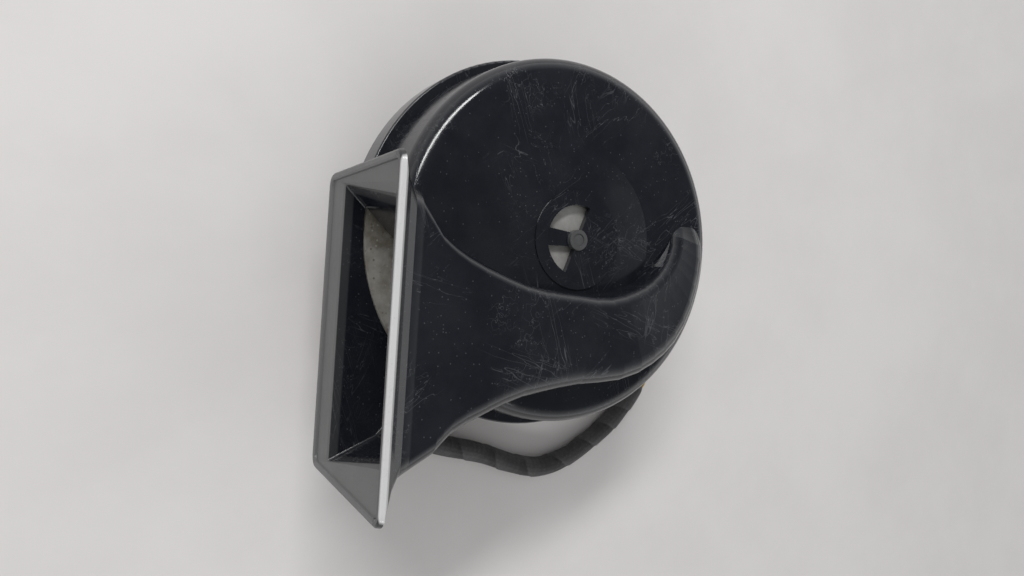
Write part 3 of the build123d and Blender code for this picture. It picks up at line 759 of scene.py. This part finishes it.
def makeTapeFinish():
    look = clothLook
    finish = Finish("charcoalClothTape")
    tree = finish.tree
    shade = tree.nodes.new("ShaderNodeAttribute")
    shade.attribute_name = "wrap"
    clouds = finish.effect("clouds", Scale=look["dustScale"])
    lint = finish.effect("specks", Scale=look["lintScale"], Share=look["lintCount"])
    # Painted light and shade across each turn of the wrap: pale at the raised edge, dark in the groove before
    # the next edge.
    colour = finish.mix(shade.outputs["Fac"], look["paintedGrooveShade"], look["paintedEdgeLight"])
    colour = finish.mix(times(tree, clouds, look["dustShare"]), colour, look["dust"])
    colour = finish.mix(times(tree, lint, look["lintShare"]), colour, look["lint"])
    finish.feed("Base Color", colour)
    finish.feed("Roughness", plus(tree, times(tree, clouds, look["dustSmoothing"]), look["roughness"]))
    uv = tree.nodes.new("ShaderNodeUVMap")
    uv.uv_map = "along"
    threads = []
    for direction in ("X", "Y"):
        wave = tree.nodes.new("ShaderNodeTexWave")
        wave.bands_direction = direction
        wave.inputs["Scale"].default_value = look["weaveScale"]
        wave.inputs["Distortion"].default_value = look["weaveDistortion"]
        tree.links.new(uv.outputs["UV"], wave.inputs["Vector"])
        threads.append(wave.outputs["Fac"])
    height = plus(tree, times(tree, *threads), finish.grain(look["grainScale"]))
    finish.bump(height, look["bumpHeight"], look["bumpStrength"])
    return finish.material


def dressTape(tape, climb):
    # The cloth gets painted light at the wrap's raised edge and painted shade that deepens over the turn into
    # the groove under the next edge. Its threads run along and around.
    mesh = tape.data
    rings, sides = climb.shape
    attribute = mesh.attributes.new("wrap", "FLOAT", "POINT")
    attribute.data.foreach_set("value", (1 - climb).ravel().astype(np.float32))
    layer = mesh.uv_layers.new(name="along")
    corners = np.empty(len(mesh.loops), dtype=np.int32)
    mesh.loops.foreach_get("vertex_index", corners)
    around = (corners % sides) / sides * clothLook["girth"]
    lengthwise = (corners // sides) / rings * clothLook["length"]
    layer.data.foreach_set("uv", np.stack([around, lengthwise], axis=1).ravel())
    mesh.materials.append(makeTapeFinish())


def makeLead():
    for name, route, node, joined in (
        ("lead_wire_live_sleeve", liveRoute, "lead_wire_live", "connector_live"),
        ("lead_wire_ground_sleeve", groundRoute, "lead_wire_ground", "connector_ground"),
    ):
        wire, centre = makeWire(name, route)
        wire.data.materials.append(finishes["sleeve"])
        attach(wire, "horn")
        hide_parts(node)
    line = routeLine("lead_route", leadRoute)
    tape, climb = makeTape(line)
    dressTape(tape, climb)
    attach(tape, "horn")
    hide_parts("lead_tape")


makeLead()

# Table top

floorLook = {
    "colour": (0.68, 0.66, 0.655),
    "shade": (0.64, 0.62, 0.615),
    "shadeScale": 9.0,
    "roughness": 0.75,
    "size": 3.0,
}


def makeFloor():
    half = floorLook["size"] / 2
    corners = [(-half, -half, 0), (half, -half, 0), (half, half, 0), (-half, half, 0)]
    mesh = bpy.data.meshes.new("table_top")
    mesh.from_pydata(corners, [], [(0, 1, 2, 3)])
    floor = bpy.data.objects.new("table_top", mesh)
    bpy.context.collection.objects.link(floor)
    finish = Finish("paleTable")
    clouds = finish.effect("clouds", Scale=floorLook["shadeScale"])
    finish.feed("Base Color", finish.mix(clouds, floorLook["shade"], floorLook["colour"]))
    finish.feed("Roughness", floorLook["roughness"])
    mesh.materials.append(finish.material)


makeCamera()
makeWorld()
makeAreaLight("window")
makeAreaLight("fill")
makeFloor()
bpy.context.scene.view_settings.view_transform = "Standard"
print("camera, light and table ready")
